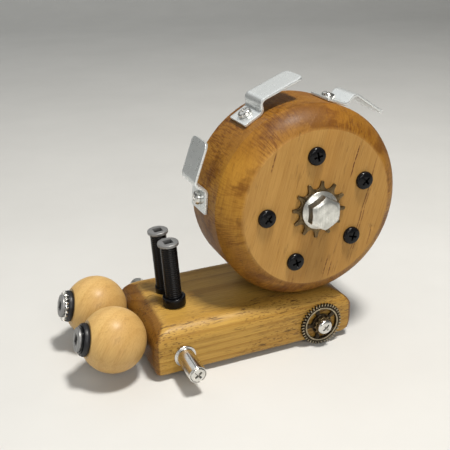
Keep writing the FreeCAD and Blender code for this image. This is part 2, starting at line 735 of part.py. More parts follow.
place_at_axle(make_wheel(), WHEEL_NEAR)
place_at_axle(ring("wheel_bush", size("axle_radius") + "running_gap", "bush_radius",
                   "wheel_thickness"), WHEEL_NEAR)
NODES.append(group("shell_screws", [
    moved(shell_screw.Shape, WHEEL_X + reach * cosine(angle), WHEEL_NEAR,
          WHEEL_Z + reach * sine(angle), outward("near")) for reach, angle in SHELL_SCREWS]))


def on_rim(number, height):
    """A clip's position at a height above the rim, with local z away from the rim."""
    angle = CLIP_ANGLES[number]
    reach = size("wheel_radius") + height
    return (WHEEL_X + reach * cosine(angle), size(f"clip_{number}_y"),
            WHEEL_Z + reach * sine(angle), Rotation(Vector(0, 1, 0), 90 - angle))


for number in CLIP_ANGLES:
    place(make_clip(number), *on_rim(number, size("clip_lift")))
head_lift = size("clip_lift") + "clip_thickness" + "clip_lift"
NODES.append(group("clip_screws", [moved(clip_screw.Shape, *on_rim(number, head_lift))
                                   for number in CLIP_ANGLES]))

looking = Rotation(Vector(0, 0, 1), EYE_AXIS)


def place_at_eye(item, side, along):
    """Places an item on the eye's axis, a distance in front of the ball's centre."""
    along = size(along)
    place(item, EYE_X - along * cosine("eye_tilt"), size("ball_offset_y") * SIDES[side],
          EYE_Z + along * sine("eye_tilt"), looking)


bore = size("eye_shank_radius") + 0.1
for side in SIDES:
    place_at_eye(make_eye_ball(side), side, 0)
    place_at_eye(ring(f"{side}_eye_rubber_washer", bore, "eye_washer_radius",
                      "eye_washer_thickness", 0.7), side, "ball_seat")
    stack = size("ball_seat") + "eye_washer_thickness"
    if side == "near":
        place_at_eye(ring("near_eye_ring", bore, "eye_ring_radius", "eye_ring_thickness", 0.3),
                     side, stack)
        stack = stack + "eye_ring_thickness"
    else:
        place_at_eye(make_star_washer(), side, stack)
        stack = stack + "star_thickness"
    place_at_eye(make_eye_screw(side, stack + "eye_screw_reach" - 0.5), side, stack)

for side, way in SIDES.items():
    antenna = (BLOCK_X + "antenna_offset_x", size("antenna_offset_y") * way, BLOCK_TOP)
    place(make_antenna(side), *antenna, LEANING)
    place(make_collar(side), *antenna[:2], BLOCK_TOP + size("collar_radius") * sine("antenna_lean"),
          LEANING)

    arm_x, arm_z = BLOCK_X + "arm_offset_x", BLOCK_BOTTOM + "arm_mid_z"
    place(make_arm_sleeve(side), arm_x, HALF_WIDTH * way, arm_z, outward(side))
    place(make_arm_screw(side), arm_x, (HALF_WIDTH + "arm_length" - 2.0) * way, arm_z, outward(side))

    gear_x, gear_z = BLOCK_X + "gear_offset_x", BLOCK_BOTTOM + "gear_mid_z"
    gear_face = HALF_WIDTH + "gear_gap"
    place(make_tail_gear(side), gear_x, gear_face * way, gear_z, outward(side))
    place(make_cog(side), gear_x, (gear_face + "gear_thickness") * way, gear_z, outward(side))
    place(ring(f"{side}_gear_bush", size("gear_screw_radius") + 0.02, "gear_bush_radius", GEAR_STACK),
          gear_x, HALF_WIDTH * way, gear_z, outward(side))
    place(pan_screw(f"{side}_gear_screw", "gear_head_radius", "pan_height", "gear_screw_radius",
                    GEAR_STACK + "gear_screw_depth" - 0.5),
          gear_x, (HALF_WIDTH + GEAR_STACK) * way, gear_z, outward(side))

# ---------------------------------------------------------------- checks and export

doc.recompute()
for item in doc.Objects:
    if "Invalid" in item.State or "Error" in item.State:
        raise RuntimeError(f"{item.Label} did not build: {item.State}")
for node in NODES:
    if node.Shape.isNull() or not node.Shape.isValid():
        raise RuntimeError(f"{node.Label} has no valid shape")

os.makedirs("parts", exist_ok=True)
for node in NODES:
    node.Shape.exportStep(f"parts/{node.Label}.step")
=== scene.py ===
"""Looks of the wooden snail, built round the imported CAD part.

Pieces are drawn in millimetres and place() scales them; materials, floor, lights and camera are in metres.
"""
import math

import bmesh
import bpy
from mathutils import Matrix, Vector, noise


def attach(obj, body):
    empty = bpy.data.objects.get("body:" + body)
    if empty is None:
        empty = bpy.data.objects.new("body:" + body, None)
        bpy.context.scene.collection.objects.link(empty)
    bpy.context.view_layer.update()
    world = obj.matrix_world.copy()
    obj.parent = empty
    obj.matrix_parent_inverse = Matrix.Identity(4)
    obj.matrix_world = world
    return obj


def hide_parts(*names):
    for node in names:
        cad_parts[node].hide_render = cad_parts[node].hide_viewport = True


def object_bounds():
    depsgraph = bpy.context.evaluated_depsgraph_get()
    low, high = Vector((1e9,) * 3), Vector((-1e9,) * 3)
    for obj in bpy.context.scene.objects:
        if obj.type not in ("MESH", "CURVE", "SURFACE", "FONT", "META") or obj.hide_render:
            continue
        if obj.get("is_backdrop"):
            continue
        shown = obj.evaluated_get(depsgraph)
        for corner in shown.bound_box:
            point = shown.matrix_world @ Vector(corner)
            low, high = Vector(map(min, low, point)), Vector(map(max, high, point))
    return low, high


MM = 0.001
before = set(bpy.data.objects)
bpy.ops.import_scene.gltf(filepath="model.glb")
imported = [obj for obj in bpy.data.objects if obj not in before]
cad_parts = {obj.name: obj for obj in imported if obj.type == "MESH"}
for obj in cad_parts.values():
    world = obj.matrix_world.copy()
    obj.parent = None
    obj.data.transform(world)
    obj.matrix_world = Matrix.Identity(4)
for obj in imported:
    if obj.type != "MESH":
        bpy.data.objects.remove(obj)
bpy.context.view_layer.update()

# Middle of the block along x and the height of its underside, then its size.
BLOCK_X, BLOCK_Z = 4.4, 2.2
LENGTH, WIDTH, HEIGHT = 97.7, 56.3, 22.4
BLOCK_TOP = BLOCK_Z + HEIGHT
# Centre of the disc's near face, its radii at the rim and round the flat face, and its thickness.
WHEEL = Vector((31.8, -30.3, 68.7))
RIM, THICK = 43.8, 38.3
FACE = 34.8
# Which way y points on each side, and turns that lead local z out of the near and the far side.
SIDES = {"near": -1, "far": 1}
NEAR = Matrix.Rotation(math.radians(90), 4, "X")
FAR = Matrix.Rotation(math.radians(-90), 4, "X")
OUT = {"near": NEAR, "far": FAR}
BOARD_Y = 15.35
RECESS_X, RECESS_RADIUS, RECESS_DEPTH = (18.4, 36.4), 4.1, 2.6
BOLT_GAP = 1.15
NUT_Y = 22.55
HEX_FLATS = 13.0
PAN_HEIGHT = 2.2
# Distance from the axle and angle of the five screws in the face.
SHELL_SCREWS = [(24.0, 94.0), (24.1, 23.6), (22.7, -42.2), (25.1, -115.7), (24.5, 179.9)]
# Angle round the rim, y, length behind the screw, then length and slope of the riser and of the tab.
CLIPS = [(174.9, -4.6, 5.4, (6.2, 64.0), (18.2, -15.0)),
         (120.8, -6.8, 4.7, (4.8, 76.0), (21.0, -9.0)),
         (69.5, -8.4, 4.2, (6.2, 64.0), (17.8, -13.5))]
EYE_SEAT, EYE_RING_AT = 11.8, 14.4
ARM_LENGTH, ARM_SEAT, ARM_BORE = 16.2, 14.2, 2.1
GEAR_AT, GEAR_TEETH = (31.4, 8.5), 40


# ---------------------------------------------------------------- mesh tools

def new_object(name, verts, faces, sharp=32):
    mesh = bpy.data.meshes.new(name)
    mesh.from_pydata([Vector(v) for v in verts], [], faces)
    work = bmesh.new()
    work.from_mesh(mesh)
    bmesh.ops.remove_doubles(work, verts=work.verts, dist=1e-5)
    bmesh.ops.recalc_face_normals(work, faces=work.faces)
    work.to_mesh(mesh)
    work.free()
    obj = bpy.data.objects.new(name, mesh)
    bpy.context.scene.collection.objects.link(obj)
    shade(obj, sharp)
    return obj


def shade(obj, sharp=32):
    obj.data.shade_smooth()
    obj.data.set_sharp_from_angle(angle=math.radians(sharp))


def baked(obj):
    """Applies the object's modifiers."""
    graph = bpy.context.evaluated_depsgraph_get()
    mesh = bpy.data.meshes.new_from_object(obj.evaluated_get(graph))
    obj.modifiers.clear()
    obj.data = mesh
    return obj


def bevelled(obj, width, segments=2, angle=32):
    modifier = obj.modifiers.new("Bevel", "BEVEL")
    modifier.width = width
    modifier.segments = segments
    modifier.limit_method = "ANGLE"
    modifier.angle_limit = math.radians(angle)
    baked(obj)
    shade(obj, 50)
    return obj


def carve(obj, cutter, sharp=32):
    modifier = obj.modifiers.new("Cut", "BOOLEAN")
    modifier.operation = "DIFFERENCE"
    modifier.solver = "EXACT"
    modifier.object = cutter
    baked(obj)
    bpy.data.objects.remove(cutter)
    shade(obj, sharp)
    return obj


def joined(name, objects):
    """One object from several, each with its own placement."""
    work = bmesh.new()
    for item in objects:
        start = len(work.verts)
        work.from_mesh(item.data)
        work.verts.ensure_lookup_table()
        for vert in work.verts[start:]:
            vert.co = item.matrix_basis @ vert.co
        bpy.data.objects.remove(item)
    mesh = bpy.data.meshes.new(name)
    work.to_mesh(mesh)
    work.free()
    obj = bpy.data.objects.new(name, mesh)
    bpy.context.scene.collection.objects.link(obj)
    return obj


def rounded_path(corners, steps=4):
    """Turns (x, z, radius) corners into points with an arc at each inner corner."""
    points = []
    for i, corner in enumerate(corners):
        here = Vector(corner[:2])
        radius = corner[2] if len(corner) > 2 else 0
        if not radius or i in (0, len(corners) - 1):
            points.append(tuple(here))
            continue
        back = (Vector(corners[i - 1][:2]) - here).normalized()
        ahead = (Vector(corners[i + 1][:2]) - here).normalized()
        half = back.angle(ahead) / 2
        reach = radius / math.tan(half)
        centre = here + (back + ahead).normalized() * radius / math.sin(half)
        first, last = here + back * reach - centre, here + ahead * reach - centre
        sweep = first.angle_signed(last)
        for k in range(steps + 1):
            a = -sweep * k / steps
            points.append((centre.x + first.x * math.cos(a) - first.y * math.sin(a),
                           centre.y + first.x * math.sin(a) + first.y * math.cos(a)))
    return points


def ring_faces(rings, around):
    """Quads between neighbouring rings of points, each ring closed."""
    faces = []
    for row in range(rings - 1):
        for k in range(around):
            k2 = (k + 1) % around
            faces.append((row * around + k, row * around + k2,
                          (row + 1) * around + k2, (row + 1) * around + k))
    return faces


def lathe(name, corners, around=96, steps=4, sharp=32):
    """Turned shape about local Z from (radius, height, rounding) corners."""
    path = rounded_path(corners, steps)
    verts = []
    for radius, z in path:
        for k in range(around):
            a = 2 * math.pi * k / around
            verts.append((radius * math.cos(a), radius * math.sin(a), z))
    return new_object(name, verts, ring_faces(len(path), around), sharp)


def tube(name, inner, outer, low, high, edge=0.15, around=96):
    """Ring with softened edges; the last corner closes it."""
    middle = (inner + outer) / 2
    return lathe(name, [(middle, low), (outer, low, edge), (outer, high, edge), (inner, high, edge),
                        (inner, low, edge), (middle, low)], around)


def prism(name, outline, low, high, scale_low=1.0):
    count = len(outline)
    verts = [(x * scale_low, y * scale_low, low) for x, y in outline]
    verts += [(x, y, high) for x, y in outline]
    faces = [tuple(range(count))[::-1], tuple(range(count, 2 * count))]
    faces += [(k, (k + 1) % count, (k + 1) % count + count, k + count) for k in range(count)]
    return new_object(name, verts, faces)


def band(name, outer, inner, low, high):
    """Flat ring between two outlines that have the same number of points."""
    count = len(outer)
    verts = [(x, y, z) for line, z in ((outer, low), (outer, high), (inner, high), (inner, low))
             for x, y in line]
    faces = []
    for row in range(4):
        for k in range(count):
            k2, after = (k + 1) % count, (row + 1) % 4
            faces.append((row * count + k, row * count + k2, after * count + k2, after * count + k))
    return new_object(name, verts, faces)


def circle(radius, count, start=0.0):
    return [(radius * math.cos(start + 2 * math.pi * k / count),
             radius * math.sin(start + 2 * math.pi * k / count)) for k in range(count)]


def toothed(root, tip, teeth, share=0.5, taper=0.7):
    """Outline of a gear; share is the tooth's part of the pitch and taper the width left at its tip."""
    points = []
    for tooth in range(teeth):
        middle = 2 * math.pi * tooth / teeth
        half = math.pi / teeth * share
        gap = math.pi / teeth
        for a, radius in ((-gap, root), (-half, root)):
            points.append((radius, middle + a))
        for t in (-1, 0, 1):
            points.append((tip - (tip - root) * 0.12 * t ** 2, middle + half * taper * t))
        points.append((root, middle + half))
    return [(radius * math.cos(a), radius * math.sin(a)) for radius, a in points]


def cross_cutter(top, reach, width, depth):
    """Tapered cross that cuts a Phillips recess."""
    half = width / 2
    outline = [(reach, -half), (reach, half), (half, half), (half, reach), (-half, reach),
               (-half, half), (-reach, half), (-reach, -half), (-half, -half), (-half, -reach),
               (half, -reach), (half, -half)]
    return prism("cutter", outline, top - depth, top + 0.5, 0.5)


def square_cutter(top, side, depth):
    """Block that cuts a square-drive recess."""
    half = side / 2
    corners = [(half, -half), (half, half), (-half, half), (-half, -half)]
    return prism("cutter", corners, top - depth, top + 0.5, 0.96)


def pan_head(name, radius, height, shank, length, turn=0.0):
    """Phillips screw with a domed head; its underside is at local z 0."""
    obj = lathe(name, [(0, height), (radius * 0.5, height * 0.98, 1),
                       (radius, height * 0.78, height * 0.55), (radius, 0, 0.15), (shank, 0, 0.1),
                       (shank, -length), (0, -length)], 64, 6)
    carve(obj, cross_cutter(height, radius * 0.60, radius * 0.26, height * 0.75))
    obj.data.transform(Matrix.Rotation(math.radians(turn), 4, "Z"))
    return obj


def threaded(name, radius, depth, pitch, low, high, around=72):
    """Screw thread whose crest winds round local Z."""
    rows = int((high - low) / pitch * 8)
    verts = []
    for row in range(rows + 1):
        z = low + (high - low) * row / rows
        for k in range(around):
            phase = (z / pitch - k / around) % 1.0
            crest = min(1.0, 1.6 * abs(phase - 0.5) * 2)
            fade = min(1.0, (high - z) / pitch, (z - low) / pitch)
            r = radius - depth * (1 - crest) * max(fade, 0.0)
            a = 2 * math.pi * k / around
            verts.append((r * math.cos(a), r * math.sin(a), z))
    return new_object(name, verts, ring_faces(rows + 1, around), 75)


def place(obj, body, position, turn=Matrix.Identity(4), material=None, nodes=()):
    """Scales a piece to metres, puts it in the row frame and hangs it on its body."""
    obj.data.transform(turn @ Matrix.Scale(MM, 4))
    obj.location = Vector(position) * MM
    if material is not None:
        obj.data.materials.clear()
        obj.data.materials.append(material)
    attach(obj, body)
    if nodes:
        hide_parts(*nodes)
    return obj


# ---------------------------------------------------------------- materials

class Nodes:
    """Short names for building one node material."""

    def __init__(self, name):
        self.material = bpy.data.materials.new(name)
        self.material.use_nodes = True
        self.tree = self.material.node_tree
        self.shader = self.tree.nodes["Principled BSDF"]
        self.coords = self.add("ShaderNodeTexCoord").outputs["Object"]

    def add(self, kind, **settings):
        node = self.tree.nodes.new(kind)
        for key, value in settings.items():
            setattr(node, key, value)
        return node

    def feed(self, socket, value):
        if isinstance(value, bpy.types.NodeSocket):
            self.tree.links.new(value, socket)
        else:
            socket.default_value = value

    def mapped(self, scale=(1, 1, 1), rotation=(0, 0, 0), location=(0, 0, 0), source=None):
        node = self.add("ShaderNodeMapping")
        self.feed(node.inputs["Vector"], source or self.coords)
        node.inputs["Scale"].default_value = scale
        node.inputs["Rotation"].default_value = rotation
        node.inputs["Location"].default_value = location
        return node.outputs[0]

    def split(self, vector):
        node = self.add("ShaderNodeSeparateXYZ")
        self.feed(node.inputs[0], vector)
        return node.outputs

    def noise(self, vector, scale, detail=3.0, rough=0.5):
        node = self.add("ShaderNodeTexNoise")
        self.feed(node.inputs["Vector"], vector)
        node.inputs["Scale"].default_value = scale
        node.inputs["Detail"].default_value = detail
        node.inputs["Roughness"].default_value = rough
        return node.outputs["Fac"]

    def ramp(self, value, stops):
        node = self.add("ShaderNodeValToRGB")
        self.feed(node.inputs["Fac"], value)
        bar = node.color_ramp
        while len(bar.elements) < len(stops):
            bar.elements.new(0.5)
        for element, (at, colour) in zip(bar.elements, stops):
            element.position = at
            element.color = (*colour, 1) if isinstance(colour, tuple) else (colour,) * 3 + (1,)
        return node.outputs["Color"]

    def blend(self, factor, a, b, how="MIX"):
        node = self.add("ShaderNodeMix", data_type="RGBA", blend_type=how)
        self.feed(node.inputs["Factor"], factor)
        self.feed(node.inputs["A"], (*a, 1) if isinstance(a, tuple) else a)
        self.feed(node.inputs["B"], (*b, 1) if isinstance(b, tuple) else b)
        return node.outputs["Result"]

    def math(self, how, a, b=0.0, clamp=False):
        node = self.add("ShaderNodeMath", operation=how, use_clamp=clamp)
        self.feed(node.inputs[0], a)
        self.feed(node.inputs[1], b)
        return node.outputs[0]

    def bump(self, height, strength, distance):
        node = self.add("ShaderNodeBump")
        self.feed(node.inputs["Height"], height)
        node.inputs["Strength"].default_value = strength
        node.inputs["Distance"].default_value = distance
        return node.outputs[0]

    def finish(self, **inputs):
        for key, value in inputs.items():
            socket = self.shader.inputs[key.replace("_", " ")]
            self.feed(socket, (*value, 1) if isinstance(value, tuple) else value)
        return self.material


def wood(name, light, mid, dark, grain_turn=(0, 0, 0), pith=(0, 0.03, -0.05), ring_gap=3.6,
         contrast=0.6, pores=0.6, rough=0.42, coat=0.15, tint=None, bump=0.5, ends=0.0,
         specks=0.0):
    """Solid wood: growth rings about the local X axis turned by grain_turn, fibres and pores along it.

    specks darkens small dots in patches, and ends darkens the faces that look along the grain, the end
    grain.
    """
    n = Nodes(name)
    straight = n.mapped(rotation=grain_turn)
    long = n.mapped(scale=(0.08, 1, 1), source=straight)
    fine = n.mapped(scale=(0.03, 1, 1), source=straight)
    wander = n.noise(long, 28, 2.0, 0.5)
    wave = n.add("ShaderNodeTexWave", wave_type="RINGS", rings_direction="X", wave_profile="SAW")
    shifted = n.mapped(scale=(0.12, 1, 1), location=pith, source=straight)
    n.feed(wave.inputs["Vector"], shifted)
    wave.inputs["Scale"].default_value = 2 * math.pi / (20 * ring_gap * MM)
    wave.inputs["Distortion"].default_value = 2.4
    wave.inputs["Detail"].default_value = 3.0
    wave.inputs["Detail Scale"].default_value = 0.35
    wave.inputs["Detail Roughness"].default_value = 0.6
    ring = n.ramp(wave.outputs["Fac"],
                  [(0.0, 0.0), (0.55, 0.12), (0.86, 1.0), (0.97, 0.85), (1.0, 0.0)])
    fibre = n.noise(fine, 1900, 4.0, 0.65)
    patch = n.noise(n.mapped(scale=(0.35, 1, 1), source=straight), 55, 4.0, 0.6)
    colour = n.blend(n.math("MULTIPLY", ring, contrast), light, mid)
    colour = n.blend(n.ramp(patch, [(0.35, 0.0), (0.75, 0.55)]), colour, mid)
    colour = n.blend(n.ramp(wander, [(0.45, 0.0), (0.7, 0.35)]), colour, dark)
    colour = n.blend(n.ramp(fibre, [(0.42, 0.0), (0.75, 0.5)]), colour, dark)
    spots = n.noise(n.mapped(scale=(0.13, 1, 1), source=straight), 950, 2.0, 0.5)
    where = n.noise(n.mapped(scale=(0.3, 1, 1), source=straight), 70, 2.0, 0.5)
    fleck = n.math("MULTIPLY", n.ramp(spots, [(0.60, 0.0), (0.67, 1.0)]),
                   n.ramp(where, [(0.42, 0.15), (0.60, 1.0)]))
    colour = n.blend(n.math("MULTIPLY", fleck, pores), colour, tuple(c * 0.35 for c in dark))
    if specks:
        dots = n.ramp(n.noise(n.mapped(scale=(0.35, 1, 1), source=straight), 1700, 2.0, 0.5),
                      [(0.55, 0.0), (0.63, specks)])
        patches = n.ramp(n.noise(n.mapped(scale=(0.4, 1, 1), source=straight), 60, 2.0, 0.5),
                         [(0.44, 0.1), (0.58, 1.0)])
        colour = n.blend(n.math("MULTIPLY", dots, patches), colour, tuple(c * 0.6 for c in dark))
    if ends:
        normal = n.add("ShaderNodeTexCoord").outputs["Normal"]
        facing = n.math("ABSOLUTE", n.split(n.mapped(rotation=grain_turn, source=normal))[0])
        darkened = n.blend(1.0, colour, (0.40, 0.28, 0.14), "MULTIPLY")
        end_grain = n.math("MULTIPLY", n.ramp(facing, [(0.22, 0.0), (0.42, 1.0)]), ends)
        colour = n.blend(end_grain, colour, darkened)
    if tint is not None:
        colour = tint(n, colour)
    relief = n.math("ADD", n.math("MULTIPLY", fibre, 0.5), n.math("MULTIPLY", fleck, -0.9))
    relief = n.math("ADD", relief, n.math("MULTIPLY", ring, 0.25))
    sheen = n.ramp(n.math("ADD", n.math("MULTIPLY", fibre, 0.6), n.math("MULTIPLY", patch, 0.4)),
                   [(0.3, rough - 0.06), (0.7, rough + 0.2)])
    n.shader.inputs["Coat Weight"].default_value = coat
    n.shader.inputs["Coat Roughness"].default_value = 0.32
    n.shader.inputs["Specular IOR Level"].default_value = 0.22
    return n.finish(Base_Color=colour, Roughness=sheen, Normal=n.bump(relief, bump, 0.00025))


def metal(name, light, dark, rough=(0.16, 0.32), metallic=1.0, scratch=(1, 1, 0.05), grime=0.35,
          bump=0.12, spangle=0.0, flank_shade=0.0, specular=0.5):
    """Plated or bare metal with fine lines and cloudy wear; painted shade darkens its hollows and the
    flanks that face sideways.
    """
    n = Nodes(name)
    lines = n.noise(n.mapped(scale=scratch), 2600, 4.0, 0.7)
    cloud = n.noise(n.coords, 260, 4.0, 0.6)
    colour = n.blend(n.ramp(cloud, [(0.35, 0.0), (0.7, grime)]), light, dark)
    colour = n.blend(n.ramp(lines, [(0.5, 0.0), (0.72, grime * 0.8)]), colour, dark)
    if spangle:
        cells = n.add("ShaderNodeTexVoronoi")
        n.feed(cells.inputs["Vector"], n.coords)
        cells.inputs["Scale"].default_value = 420
        shade_of = n.ramp(cells.outputs["Color"], [(0.2, 0.0), (0.8, spangle)])
        colour = n.blend(shade_of, colour, dark)
    # Painted shade: faces whose normal runs across y, the flanks turned away from front and back, are
    # darkened as if in shade.
    if flank_shade:
        facing = n.math("ABSOLUTE", n.split(n.add("ShaderNodeTexCoord").outputs["Normal"])[1])
        level = n.ramp(facing, [(0.10, flank_shade), (0.45, 0.0)])
        colour = n.blend(level, colour, tuple(c * 0.3 for c in dark))
    # Painted shade: concave spots (low pointiness) are darkened as if shade gathered in the hollows.
    hollow_shade = n.add("ShaderNodeNewGeometry").outputs["Pointiness"]
    colour = n.blend(n.ramp(hollow_shade, [(0.40, 0.8), (0.48, 0.0)]), colour, tuple(c * 0.4 for c in dark))
    gloss = n.ramp(n.math("ADD", n.math("MULTIPLY", lines, 0.55), n.math("MULTIPLY", cloud, 0.45)),
                   [(0.3, rough[0]), (0.7, rough[1])])
    n.shader.inputs["Metallic"].default_value = metallic
    n.shader.inputs["Specular IOR Level"].default_value = specular
    return n.finish(Base_Color=colour, Roughness=gloss, Normal=n.bump(lines, bump, 0.00006))


def rubber(name, light, dark, rough=0.6):
    n = Nodes(name)
    grain = n.noise(n.coords, 2400, 3.0, 0.6)
    cloud = n.noise(n.coords, 180, 3.0, 0.6)
    colour = n.blend(n.ramp(cloud, [(0.4, 0.0), (0.65, 1.0)]), dark, light)
    gloss = n.ramp(grain, [(0.3, rough - 0.12), (0.7, rough + 0.12)])
    return n.finish(Base_Color=colour, Roughness=gloss, Normal=n.bump(grain, 0.25, 0.00012))


def shell_tint(n, colour):
    """Oil soaks into the turned edge, where the tool also left torn strokes; the face has streaks."""
    x, y, z = n.split(n.coords)
    reach = n.math("SQRT", n.math("ADD", n.math("MULTIPLY", x, x), n.math("MULTIPLY", z, z)))
    wobble = n.math("MULTIPLY", n.noise(n.coords, 240, 3.0), 0.0012)
    edge = n.ramp(n.math("MULTIPLY", n.math("SUBTRACT", n.math("ADD", reach, wobble), 0.0352), 500),
                  [(0.0, 0.0), (0.75, 1.0)])
    darkened = n.blend(1.0, colour, (0.90, 0.80, 0.36), "MULTIPLY")
    blotch = n.ramp(n.noise(n.mapped(scale=(0.5, 1, 1), rotation=SHELL_GRAIN), 62, 4.0, 0.65),
                    [(0.50, 0.0), (0.60, 0.8)])
    darkened = n.blend(blotch, darkened, n.blend(1.0, darkened, (0.52, 0.42, 0.28), "MULTIPLY"))
    round_rim = n.math("MULTIPLY", n.math("ARCTAN2", z, x), RIM * MM)
    outward, along_axis = (n.math("MULTIPLY", part, 0.14) for part in (reach, y))
    polar = n.add("ShaderNodeCombineXYZ")
    for socket, part in zip(polar.inputs, (round_rim, outward, along_axis)):
        n.feed(socket, part)
    torn = n.math("MULTIPLY", n.ramp(n.noise(polar.outputs[0], 1500, 3.0), [(0.46, 0.0), (0.60, 0.9)]),
                  n.ramp(n.noise(n.coords, 40, 2.0), [(0.38, 0.1), (0.56, 1.0)]))
    darkened = n.blend(torn, darkened, n.blend(1.0, darkened, (0.55, 0.42, 0.26), "MULTIPLY"))
    colour = n.blend(edge, colour, darkened)
    return resin_streaks(n, colour)


def resin_streaks(n, colour):
    """A faint darker band beyond the seam, and the thin resin lines of STREAKS."""
    along, _, across = n.split(n.mapped(rotation=SHELL_GRAIN))
    drift = n.math("MULTIPLY", n.math("SUBTRACT", n.noise(n.coords, 90, 2.0), 0.5), 0.0016)
    across = n.math("ADD", across, drift)
    beyond_seam = n.math("MULTIPLY", n.math("SUBTRACT", SEAM * MM, across), 100)
    darker = n.math("MULTIPLY", n.ramp(beyond_seam, [(0.0, 0.0), (0.03, 1.0), (0.6, 0.7), (1.0, 0.0)]), 0.6)
    colour = n.blend(darker, colour, n.blend(1.0, colour, (0.86, 0.76, 0.60), "MULTIPLY"))
    total = 0.0
    for place_across, start, end, strength in STREAKS:
        off = n.math("ABSOLUTE", n.math("ADD", across, place_across * MM))
        line = n.ramp(n.math("MULTIPLY", off, 1000), [(0.14, strength), (0.40, 0.0)])
        middle, half = (start + end) / 2 * MM, (end - start) / 2 * MM
        away = n.math("ABSOLUTE", n.math("SUBTRACT", along, middle))
        inside = n.ramp(n.math("DIVIDE", away, half), [(0.55, 1.0), (1.0, 0.0)])
        total = n.math("ADD", n.math("MULTIPLY", line, inside), total)
    broken = n.ramp(n.noise(n.mapped(scale=(0.2, 1, 1), rotation=SHELL_GRAIN), 900, 2.0),
                    [(0.36, 0.25), (0.52, 1.0)])
    return n.blend(n.math("MULTIPLY", total, broken, True), colour, (0.085, 0.016, 0.006))


SHELL_GRAIN = (0, math.radians(74.5), 0)
SEAM = 5.9
# Place across the grain, start and end along it, and strength.
STREAKS = [(11.8, 14, 32, 1.0), (11.9, -32, -20, 0.8), (14.5, -31, -23, 0.8), (22.4, -25, 30, 0.75),
           (23.5, -26, 18, 0.6), (-26.8, 12, 22, 0.8), (30.4, -15, -4, 0.6), (-3.0, -40, -31, 0.5)]
pine = wood("pine", (0.52, 0.315, 0.066), (0.35, 0.185, 0.030), (0.20, 0.085, 0.018),
            pith=(0, 0.012, 0.034), ring_gap=3.4, contrast=0.8, pores=0.9, rough=0.40, coat=0.12,
            ends=0.9, specks=0.7)
shell_wood = wood("shell_wood", (0.470, 0.262, 0.070), (0.37, 0.188, 0.042), (0.24, 0.110, 0.022),
                  grain_turn=SHELL_GRAIN, pith=(0, 0.05, 0.045), ring_gap=5.2,
                  contrast=0.4, pores=0.3, rough=0.46, coat=0.06, tint=shell_tint, ends=0.5)
board_wood = wood("board_wood", (0.58, 0.38, 0.18), (0.46, 0.27, 0.11), (0.30, 0.15, 0.05),
                  grain_turn=(0, math.radians(90), 0), pith=(0, 0.02, 0.05), ring_gap=4.0,
                  contrast=0.7, pores=0.5, rough=0.5)
beech = wood("beech", (0.64, 0.42, 0.155), (0.52, 0.31, 0.100), (0.36, 0.19, 0.050),
             grain_turn=(0, math.radians(60), 0), pith=(0, 0.03, 0.02), ring_gap=5.5,
             contrast=0.5, pores=0.18, rough=0.40, coat=0.2, bump=0.2)
black_steel = metal("black_steel", (0.0055, 0.0055, 0.0065), (0.002, 0.002, 0.0025), (0.14, 0.24), 0.0,
                    grime=0.6, bump=0.1, specular=0.2)
bright_steel = metal("bright_steel", (0.78, 0.77, 0.74), (0.42, 0.41, 0.38), (0.14, 0.30))
# Axle bolt metal, with painted shade on the hex head's flanks.
bolt_zinc = metal("bolt_zinc", (0.78, 0.78, 0.74), (0.34, 0.34, 0.31), (0.24, 0.36), 0.9, grime=0.7,
                  flank_shade=0.8)
zinc = metal("zinc", (0.80, 0.83, 0.83), (0.56, 0.60, 0.61), (0.24, 0.34), 0.7, scratch=(0.06, 1, 1),
             grime=0.25, bump=0.05, spangle=0.06)
grey_steel = metal("grey_steel", (0.30, 0.30, 0.30), (0.13, 0.13, 0.13), (0.34, 0.5), 0.7)
bronze = metal("bronze", (0.20, 0.14, 0.07), (0.05, 0.034, 0.018), (0.24, 0.42), grime=0.85, bump=0.3)
dark_bronze = metal("dark_bronze", (0.060, 0.045, 0.026), (0.016, 0.012, 0.008), (0.28, 0.46), 0.8,
                    grime=0.9, bump=0.3)
# Lighter copy of bronze that paints highlights on the gear's tooth tips and lip.
bronze_highlight = metal("bronze_highlight", (0.46, 0.40, 0.28), (0.20, 0.16, 0.10), (0.26, 0.42), 0.8, grime=0.7)
bush_bronze = metal("bush_bronze", (0.62, 0.43, 0.18), (0.34, 0.22, 0.09), (0.22, 0.38))
nylon = rubber("nylon", (0.55, 0.62, 0.70), (0.42, 0.48, 0.56), 0.45)
black_rubber = rubber("black_rubber", (0.006, 0.0065, 0.010), (0.003, 0.003, 0.005), 0.42)
brown_pad = rubber("brown_pad", (0.20, 0.115, 0.06), (0.13, 0.07, 0.035), 0.8)


# ---------------------------------------------------------------- wooden block

def rounded_rectangle(half_x, half_y, radius, along_x=66, along_y=38, corner=8):
    """Outline of evenly spaced points; every call gives the same number of them."""
    radius = max(min(radius, half_x, half_y), 0.0)
    points = []
    spans = [((half_x, -half_y + radius), (half_x, half_y - radius), along_y, 0),
             ((half_x - radius, half_y), (-half_x + radius, half_y), along_x, 90),
             ((-half_x, half_y - radius), (-half_x, -half_y + radius), along_y, 180),
             ((-half_x + radius, -half_y), (half_x - radius, -half_y), along_x, 270)]
    for (x0, y0), (x1, y1), count, angle in spans:
        points += [(x0 + (x1 - x0) * k / count, y0 + (y1 - y0) * k / count) for k in range(count)]
        a = math.radians(angle)
        cx, cy = x1 - radius * math.cos(a), y1 - radius * math.sin(a)
        points += [(cx + radius * math.cos(a + math.pi / 2 * k / corner),
                    cy + radius * math.sin(a + math.pi / 2 * k / corner)) for k in range(corner)]
    return points


def onto_round(point, end, up, along, rise):
    """Pulls a point of one end's profile back onto a larger oval rounding."""
    centre_x = end * (LENGTH / 2 - along)
    centre_z = HEIGHT - rise if up else rise
    dx, dz = (point.x - centre_x) * end / along, (point.z - centre_z) * (1 if up else -1) / rise
    far = math.hypot(dx, dz)
    if dx > 0 and dz > 0 and far > 1:
        point.x = centre_x + end * dx / far * along
        point.z = centre_z + (1 if up else -1) * dz / far * rise


